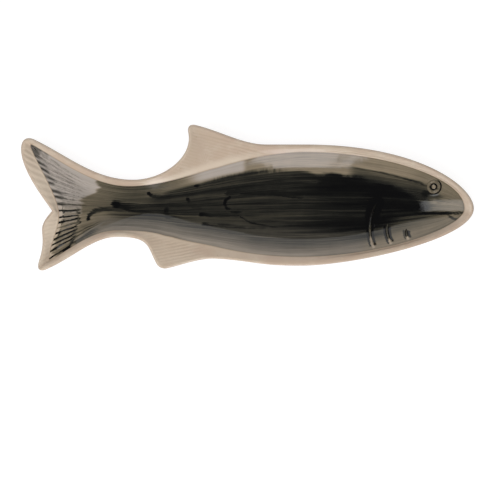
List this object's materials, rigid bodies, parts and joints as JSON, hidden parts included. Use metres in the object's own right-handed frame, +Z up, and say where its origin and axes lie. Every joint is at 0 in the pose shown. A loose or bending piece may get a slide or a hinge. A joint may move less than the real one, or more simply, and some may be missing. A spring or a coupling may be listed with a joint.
{
  "type": "fish shaped platter",
  "caption": "Shallow stoneware serving platter in the outline of a fish, with a brushed dark hollow, a bare rim, flat fins and a forked tail.",
  "frame": {"origin": "on the table, under the middle of the platter's bounding box", "axes": "+X towards the nose, +Y towards the fish's back with the dorsal fin, +Z up out of the hollow"},
  "size_m": [0.5106, 0.1638, 0.034],
  "materials": {
    "stoneware": "satin",
    "painted_glaze": "gloss",
    "raised_relief": "gloss"
  },
  "bodies": {
    "root": {"stoneware_body": "stoneware", "painted_glaze": "painted_glaze", "eye_ring": "raised_relief", "eye_pupil": "raised_relief", "gill_ridge_rear": "raised_relief", "gill_ridge_middle": "raised_relief", "gill_ridge_front": "raised_relief", "tail_rays": "raised_relief"}
  },
  "joints": []
}
